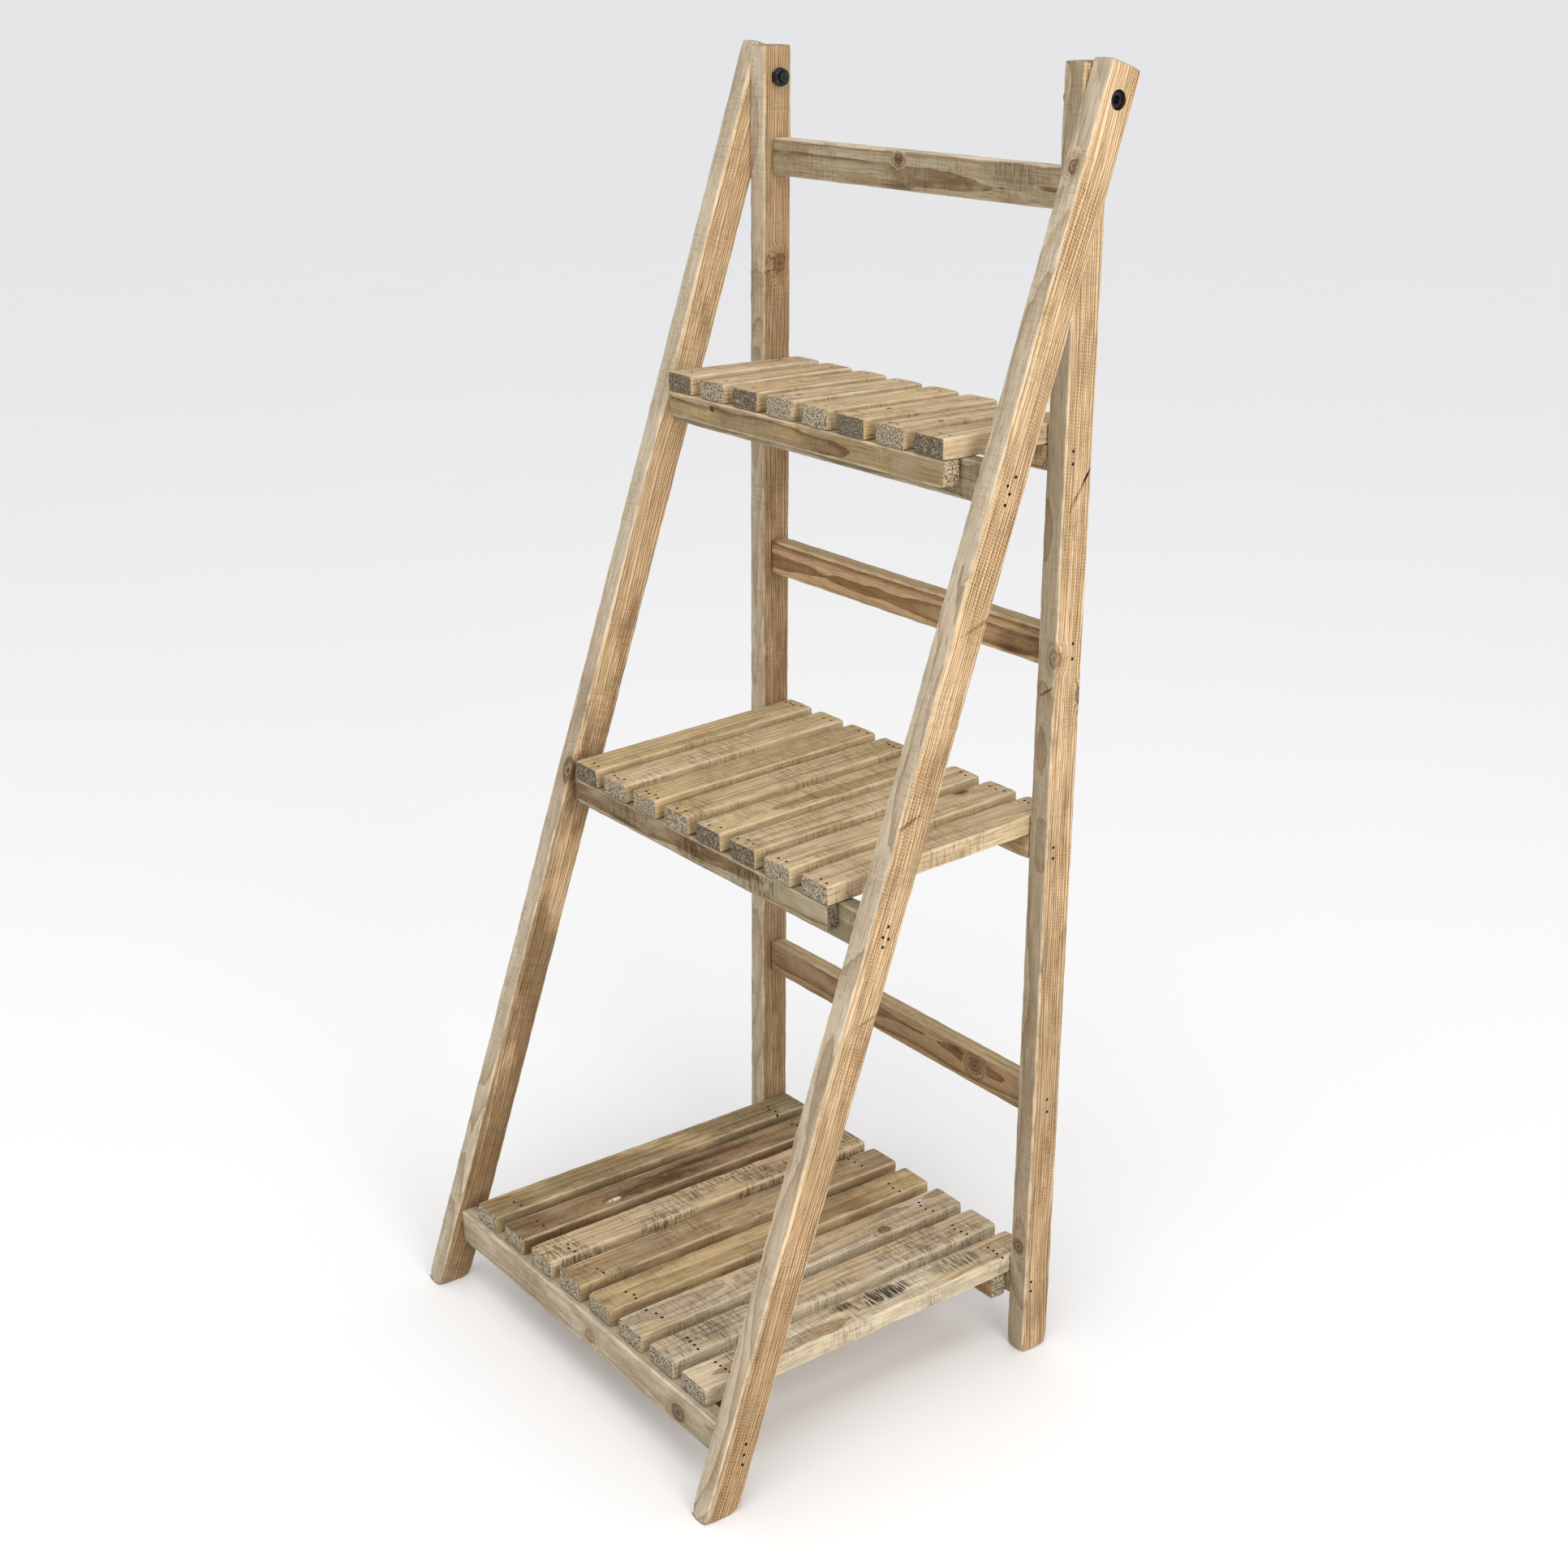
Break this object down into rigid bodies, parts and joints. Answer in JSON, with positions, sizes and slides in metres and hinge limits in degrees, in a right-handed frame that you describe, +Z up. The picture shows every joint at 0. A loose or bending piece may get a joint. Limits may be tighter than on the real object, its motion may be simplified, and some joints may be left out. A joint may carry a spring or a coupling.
{
  "type": "plant ladder stand",
  "caption": "Folding timber ladder stand for potted plants, with a sloping front frame bolted to an upright rear frame and slatted shelves that drop over the rails.",
  "frame": {"origin": "on the floor, below the middle of the standing stand's overall box", "axes": "+X across the stand to the viewer's right, +Y from the front to the back, +Z up"},
  "size_m": [0.426, 0.3796, 1.0435],
  "materials": {
    "leg_wood": "rough-sawn softwood, sanded arrises, weathered",
    "rail_wood": "rough-sawn softwood, greyed",
    "slat_wood": "rough-sawn softwood, dry",
    "batten_wood": "rough-sawn softwood, dark",
    "black_steel": "black oxide, satin"
  },
  "bodies": {
    "rear_frame": {"pivot_bolt_left": "black_steel", "pivot_bolt_right": "black_steel", "pivot_nut_left": "black_steel", "pivot_nut_right": "black_steel", "rear_leg_left": "leg_wood", "rear_leg_right": "leg_wood", "rear_lower_tie_rail": "rail_wood", "rear_rail_bottom_shelf": "rail_wood", "rear_rail_middle_shelf": "rail_wood", "rear_rail_top_shelf": "rail_wood", "rear_top_rail": "rail_wood", "rear_upper_tie_rail": "rail_wood"},
    "front_frame": {"front_leg_left": "leg_wood", "front_leg_right": "leg_wood", "front_rail_bottom_shelf": "rail_wood", "front_rail_middle_shelf": "rail_wood", "front_rail_top_shelf": "rail_wood"},
    "top_shelf": {"top_shelf_front_batten": "batten_wood", "top_shelf_rear_batten": "batten_wood", "top_shelf_slat_1": "slat_wood", "top_shelf_slat_2": "slat_wood", "top_shelf_slat_3": "slat_wood", "top_shelf_slat_4": "slat_wood", "top_shelf_slat_5": "slat_wood", "top_shelf_slat_6": "slat_wood", "top_shelf_slat_7": "slat_wood", "top_shelf_slat_8": "slat_wood"},
    "middle_shelf": {"middle_shelf_front_batten": "batten_wood", "middle_shelf_rear_batten": "batten_wood", "middle_shelf_slat_1": "slat_wood", "middle_shelf_slat_2": "slat_wood", "middle_shelf_slat_3": "slat_wood", "middle_shelf_slat_4": "slat_wood", "middle_shelf_slat_5": "slat_wood", "middle_shelf_slat_6": "slat_wood", "middle_shelf_slat_7": "slat_wood", "middle_shelf_slat_8": "slat_wood"},
    "bottom_shelf": {"bottom_shelf_front_batten": "batten_wood", "bottom_shelf_rear_batten": "batten_wood", "bottom_shelf_slat_1": "slat_wood", "bottom_shelf_slat_2": "slat_wood", "bottom_shelf_slat_3": "slat_wood", "bottom_shelf_slat_4": "slat_wood", "bottom_shelf_slat_5": "slat_wood", "bottom_shelf_slat_6": "slat_wood", "bottom_shelf_slat_7": "slat_wood", "bottom_shelf_slat_8": "slat_wood"}
  },
  "joints": [
    {"name": "fold", "type": "hinge", "parent": "rear_frame", "child": "front_frame", "pos_m": [0, 0.16761, 1.015], "axis": [1, 0, 0], "range_deg": [0, 13]},
    {"name": "bottom_shelf_swing", "type": "hinge", "parent": "rear_frame", "child": "bottom_shelf", "pos_m": [0, 0.16961, 0.069], "axis": [-1, 0, 0], "range_deg": [0, 78]},
    {"name": "top_shelf_lift", "type": "slide", "parent": "rear_frame", "child": "top_shelf", "axis": [0, 0, 1], "range_m": [0, 0.148]},
    {"name": "middle_shelf_lift", "type": "slide", "parent": "rear_frame", "child": "middle_shelf", "axis": [0, 0, 1], "range_m": [0, 0.118]}
  ],
  "couplings": [
    {"joint": "bottom_shelf_swing", "follows": "fold", "ratio": 6}
  ]
}
